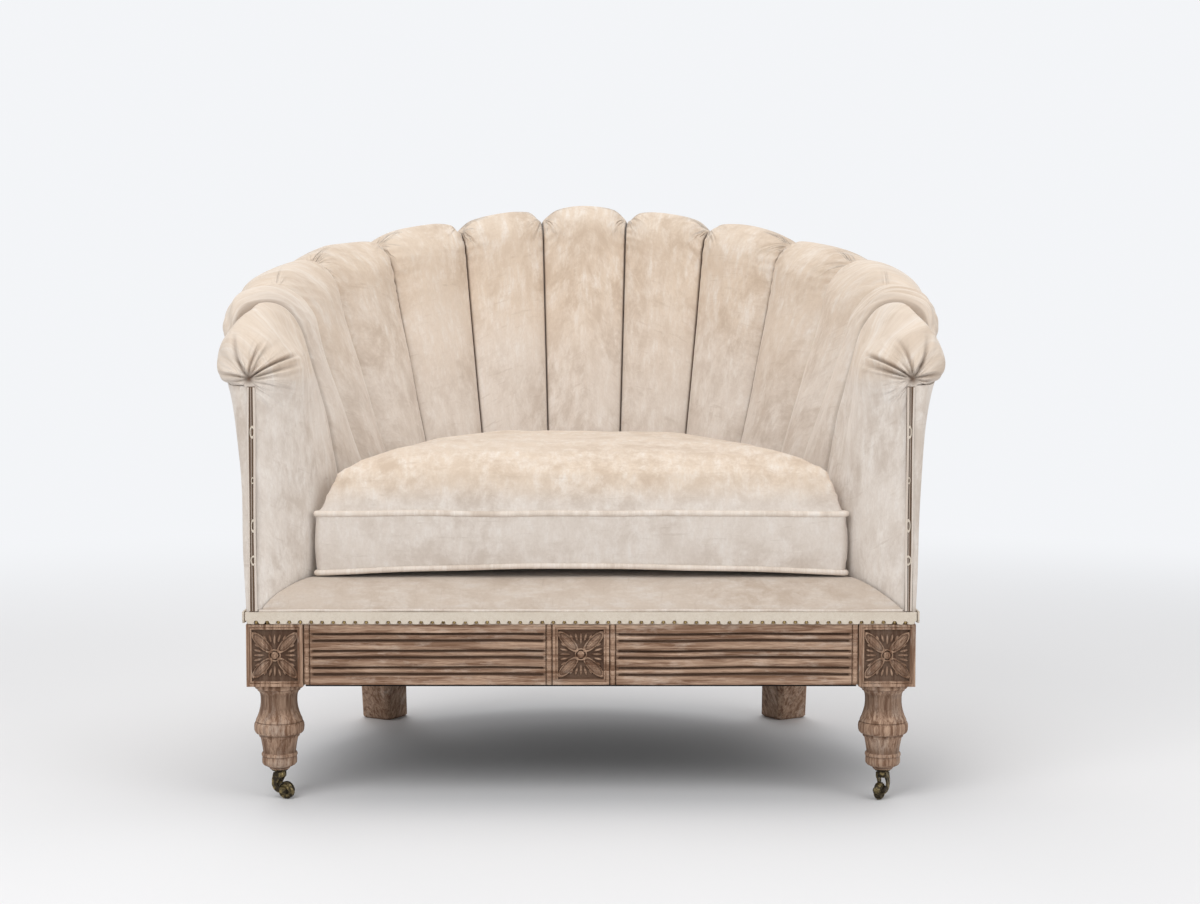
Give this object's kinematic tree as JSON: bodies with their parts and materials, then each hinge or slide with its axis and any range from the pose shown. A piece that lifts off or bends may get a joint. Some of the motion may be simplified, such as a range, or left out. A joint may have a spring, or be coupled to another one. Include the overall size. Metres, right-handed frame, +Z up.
{
  "type": "channel back tub armchair",
  "caption": "Wide tub armchair with a scalloped channelled velvet back, loose seat cushion, carved reeded wood rail and turned front legs on brass casters.",
  "frame": {"origin": "middle of the footprint, on the floor", "axes": "+X to the right as seen from the front, +Y from the front to the back, +Z up"},
  "size_m": [1.0342, 0.788, 0.877],
  "materials": {
    "velvet": "crushed champagne velvet",
    "linen_tape": "plain woven tape",
    "weathered_wood": "weathered, dry, limed in the carving",
    "frame_wood": "plain sawn frame timber",
    "aged_brass": "dark aged brass",
    "spring_steel": "plain wire",
    "jute_webbing": "woven jute",
    "dust_cloth": "thin black cloth"
  },
  "bodies": {
    "root": {"back_channel_centre": "velvet", "right_channel_1": "velvet", "right_channel_2": "velvet", "right_channel_3": "velvet", "right_channel_4": "velvet", "right_channel_5": "velvet", "left_channel_1": "velvet", "left_channel_2": "velvet", "left_channel_3": "velvet", "left_channel_4": "velvet", "left_channel_5": "velvet", "right_arm_front_panel": "velvet", "left_arm_front_panel": "velvet", "right_outside_arm_cover": "velvet", "left_outside_arm_cover": "velvet", "outside_back_cover": "velvet", "seat_deck": "velvet", "front_rail": "weathered_wood", "right_front_leg": "weathered_wood", "left_front_leg": "weathered_wood", "right_side_rail": "weathered_wood", "left_side_rail": "weathered_wood", "back_rail": "weathered_wood", "right_back_leg": "weathered_wood", "left_back_leg": "weathered_wood", "right_corner_block": "frame_wood", "left_corner_block": "frame_wood", "right_arm_post": "frame_wood", "left_arm_post": "frame_wood", "right_arm_rail": "frame_wood", "left_arm_rail": "frame_wood", "right_back_stile": "frame_wood", "left_back_stile": "frame_wood", "back_centre_upright": "frame_wood", "crest_rail": "frame_wood", "right_facing_strip": "linen_tape", "left_facing_strip": "linen_tape", "front_trim_band": "linen_tape", "tub_trim_band": "linen_tape", "coil_spring_1": "spring_steel", "coil_spring_2": "spring_steel", "coil_spring_3": "spring_steel", "coil_spring_4": "spring_steel", "coil_spring_5": "spring_steel", "coil_spring_6": "spring_steel", "coil_spring_7": "spring_steel", "coil_spring_8": "spring_steel", "coil_spring_9": "spring_steel", "seat_webbing": "jute_webbing", "dust_cover": "dust_cloth", "right_caster_plate": "aged_brass", "left_caster_plate": "aged_brass"},
    "cushion": {"seat_cushion": "velvet"},
    "right_horn": {"right_caster_horn": "aged_brass", "right_caster_axle": "aged_brass"},
    "left_horn": {"left_caster_horn": "aged_brass", "left_caster_axle": "aged_brass"},
    "right_wheel": {"right_caster_wheel": "aged_brass"},
    "left_wheel": {"left_caster_wheel": "aged_brass"}
  },
  "joints": [
    {"name": "cushion_lift", "type": "slide", "parent": "root", "child": "cushion", "axis": [0, 0, 1], "range_m": [0, 0.5]},
    {"name": "right_caster_swivel", "type": "hinge", "parent": "root", "child": "right_horn", "pos_m": [0.433, -0.35069, 0.035], "axis": [0, 0, 1], "continuous": true},
    {"name": "left_caster_swivel", "type": "hinge", "parent": "root", "child": "left_horn", "pos_m": [-0.433, -0.35069, 0.035], "axis": [0, 0, 1], "continuous": true},
    {"name": "right_wheel_spin", "type": "hinge", "parent": "right_horn", "child": "right_wheel", "pos_m": [0.4275, -0.36022, 0.0125], "axis": [0.866, -0.5, 0], "continuous": true},
    {"name": "left_wheel_spin", "type": "hinge", "parent": "left_horn", "child": "left_wheel", "pos_m": [-0.42295, -0.35516, 0.0125], "axis": [0.4067, 0.9135, 0], "continuous": true}
  ]
}
